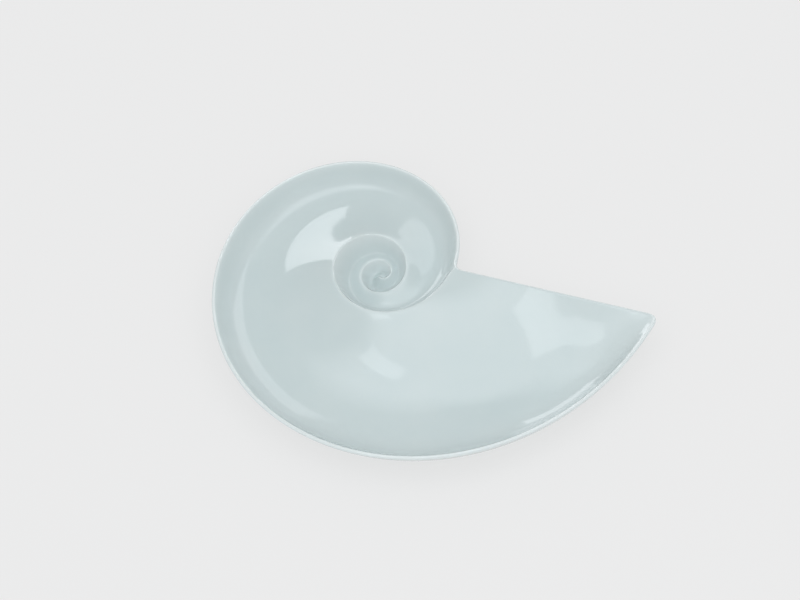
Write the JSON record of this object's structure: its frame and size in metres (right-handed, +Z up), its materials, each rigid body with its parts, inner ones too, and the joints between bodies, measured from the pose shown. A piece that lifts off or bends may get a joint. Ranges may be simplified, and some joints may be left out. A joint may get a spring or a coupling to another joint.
{
  "type": "moon snail shell dish",
  "caption": "Glazed stoneware dish shaped like a moon snail shell: a flat spiral rim round a concave channel that winds up a sunken ridge, with a straight open mouth and a low foot ring.",
  "frame": {"origin": "centre of the bounding box in plan, on the surface that the foot ring rests on", "axes": "+Z up out of the hollow, +X along the dish's length towards the tip of the mouth, +Y towards the back of the spiral"},
  "size_m": [0.3044, 0.2514, 0.04],
  "materials": {
    "celadon_glaze": "glossy pale blue-green glaze over stoneware, a little paler where it thins on the rim and ridge, bare on the foot ring"
  },
  "bodies": {
    "root": {"shell_dish": "celadon_glaze"}
  },
  "joints": []
}
